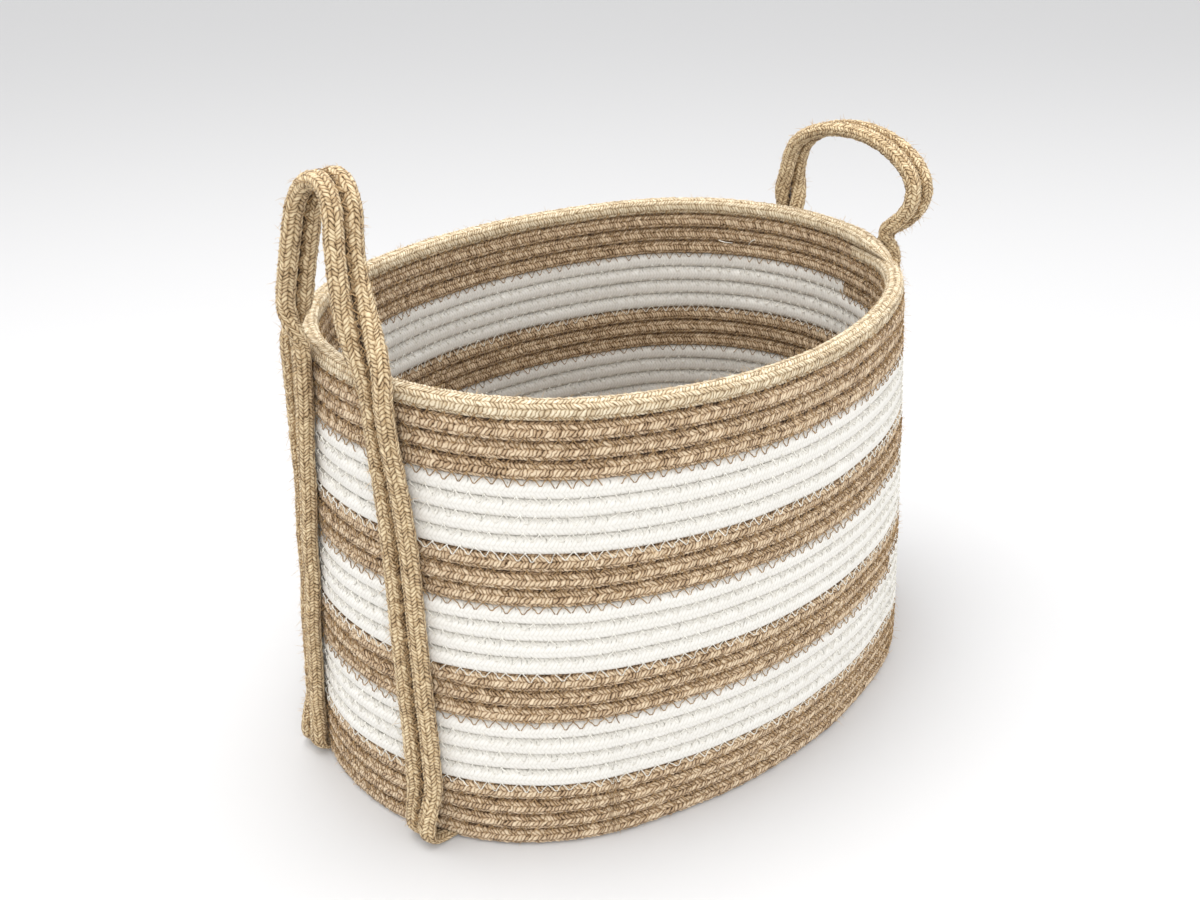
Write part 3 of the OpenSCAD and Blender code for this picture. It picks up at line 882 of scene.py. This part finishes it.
def build_handle_thread(end, name, place, across, outward, at):
    """Zigzag that sews a handle's two ropes together: all the way on one face, on the loop on the other."""
    tubes = []
    for face, seed, lowest in ((1, 70, 12.0), (-1, 80, PIVOT_Z + 6)):
        along, slide, keep = limbs(int(at[-1] / (STITCH_PITCH / 2)), seed + end, 0.02)
        rise = face * (4.35 * HANDLE_FLATNESS - 0.9 * LIMB[:, 1])
        line = (sample(place, along, at) + 0.8 * slide[..., None] * sample(across, along, at)
                + rise[None, :, None] * sample(outward, along, at))
        keep = keep & (line[:, LIMB_MIDDLE, 2] > lowest) & (along[:, 0] > 2) & (along[:, -1] < at[-1] - 2)
        tubes.append(tube_mesh(line[keep], THREAD_RADIUS, 4))
    made = mesh_object("%s_handle_thread" % name, *join(tubes), TAN_THREAD)
    bend_with(made)
    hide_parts("%s_loop_thread" % name, "%s_strap_thread" % name)


def build_handles():
    """Both handles: each a pair of ropes that wander a little, sewn together."""
    for end, name in HANDLE_NAMES.items():
        place, across, outward, half, at = handle_line(end)
        place = place + 0.25 * waves(at, 80.0, 60 + end)[:, None] * outward
        build_handle_ropes(end, name, place, across, outward, half, at)
        build_handle_thread(end, name, place, across, outward, at)


def hair_lines(roots, normals, r):
    """Short curved fibres that stand out of the rope and droop."""
    count = len(roots)
    loose = r.normal(0, 1, (count, 3))
    start = unit(normals * 0.45 + loose * 0.75)
    start = np.where(np.sum(start * normals, -1, keepdims=True) < 0.05, unit(start + normals), start)
    length = r.uniform(*FIBRE_LENGTHS, count)[:, None, None]
    bend = r.normal(0, 0.5, (count, 3)) + np.array([0, 0, -0.35])
    t = np.linspace(0, 1, len(FIBRE_RADII))[None, :, None]
    foot = roots - 0.3 * normals
    return foot[:, None, :] + length * t * (start[:, None, :] + t * 0.6 * bend[:, None, :])


def build_loose_ends():
    """Two cut ends of thread that stand out of a seam inside the back wall."""
    turns = COURSES - 3 + 0.9 + np.array([0.0, 0.012])
    a, b = half_sizes(seam_level(turns) * PITCH)
    point, out = oval(angle_at(turns), a, b, 2 * ROPE_R)
    foot = np.concatenate([point, (seam_level(turns) * PITCH)[:, None]], 1)
    t = np.linspace(0, 1, 9)[:, None]
    lines = []
    for k, (sideways, rise, stand) in enumerate(((9.0, 3.0, 3.5), (-5.0, 8.0, 3.0))):
        along = np.array([-out[k, 1], out[k, 0], 0.0])
        inward = np.array([-out[k, 0], -out[k, 1], 0.0])
        bow = np.sin(math.pi * t * 0.8)
        lines.append(foot[k] + sideways * t * along + rise * (t - 0.4 * t * t) * UP + stand * bow * inward)
    verts, tris = tube_mesh(settle(np.array(lines)), THREAD_RADIUS, 6)
    made = mesh_object("loose_thread_ends", verts, tris, WHITE_THREAD)
    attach(made, "basket")


def build_fuzz():
    """Loose jute fibres, on the crests of the strands."""
    r = np.random.default_rng(21)
    by_body = {}
    for body, *surface in hair_roots:
        by_body.setdefault(body, []).append(surface)
    for body, surfaces in by_body.items():
        verts, normals, crest = (np.concatenate(part) for part in zip(*surfaces))
        pick = r.choice(np.flatnonzero(crest > 0.5), FIBRES[body], replace=False)
        lines = hair_lines(verts[pick], normals[pick], r)
        # None reach into the floor
        lines = lines[lines[:, :, 2].min(1) > 1.0]
        verts, tris = tube_mesh(lines, FIBRE_RADII[None, :], 3)
        made = mesh_object("jute_fibres_" + body, verts, tris, FUZZ)
        if body == "basket":
            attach(made, body)
        else:
            bend_with(made)


build_base()
build_wall()
build_seams()
build_handles()
build_loose_ends()
build_fuzz()


# ---- Floor, light and camera ----


def area_light(name, place, target, size, power, colour=(1, 1, 1)):
    """Round light at a place in metres, turned to a target."""
    data = bpy.data.lights.new(name, "AREA")
    data.shape = "DISK"
    data.size = size
    data.energy = power
    data.color = colour
    made = bpy.data.objects.new(name, data)
    bpy.context.scene.collection.objects.link(made)
    made.location = place
    made.rotation_euler = (Vector(target) - Vector(place)).to_track_quat("-Z", "Y").to_euler()


def build_stage():
    """Plain round floor, wide enough to fill the view at every angle."""
    sides, radius = 96, 14.0
    angles = [TURN * k / sides for k in range(sides)]
    rim = [(radius * math.cos(angle), radius * math.sin(angle), 0) for angle in angles]
    mesh = bpy.data.meshes.new("floor")
    mesh.from_pydata(rim, [], [tuple(range(sides))])
    floor = bpy.data.objects.new("floor", mesh)
    bpy.context.scene.collection.objects.link(floor)
    mesh.materials.append(plain_material("floor", (204, 204, 205), 0.75))


build_stage()
bpy.context.scene.view_settings.view_transform = "Standard"
area_light("key", (-0.55, 0.35, 2.0), (0, 0, 0.1), 1.5, 17.0, (1.0, 0.985, 0.96))
area_light("fill", (-1.3, -1.7, 1.1), (0, 0, 0.15), 1.6, 17.0)
area_light("top", (0.05, 0.1, 1.5), (0, 0, 0), 0.7, 7.0)
area_light("side", (1.7, -0.9, 1.2), (0, 0, 0.15), 1.2, 7.0)
world = bpy.data.worlds.new("world")
bpy.context.scene.world = world
world.use_nodes = True
world.node_tree.nodes["Background"].inputs["Color"].default_value = (1, 1, 1, 1)
world.node_tree.nodes["Background"].inputs["Strength"].default_value = 1.05

# The camera's place, its turn from +Y towards +X, its tilt down and its roll
CAMERA = (-0.4915, -0.5235, 0.4907)
YAW, TILT, ROLL = math.radians(42.10), math.radians(25.59), math.radians(-0.52)
camera = bpy.data.objects.new("camera", bpy.data.cameras.new("camera"))
camera.data.lens = 39.7
camera.data.sensor_width = 36.0
bpy.context.scene.collection.objects.link(camera)
forward = Vector((math.sin(YAW) * math.cos(TILT), math.cos(YAW) * math.cos(TILT), -math.sin(TILT)))
level_right = Vector((math.cos(YAW), -math.sin(YAW), 0))
level_up = level_right.cross(forward)
right = level_right * math.cos(ROLL) + level_up * math.sin(ROLL)
up = right.cross(forward)
camera.matrix_world = Matrix((
    (right.x, up.x, -forward.x, CAMERA[0]),
    (right.y, up.y, -forward.y, CAMERA[1]),
    (right.z, up.z, -forward.z, CAMERA[2]),
    (0, 0, 0, 1),
))
bpy.context.scene.camera = camera
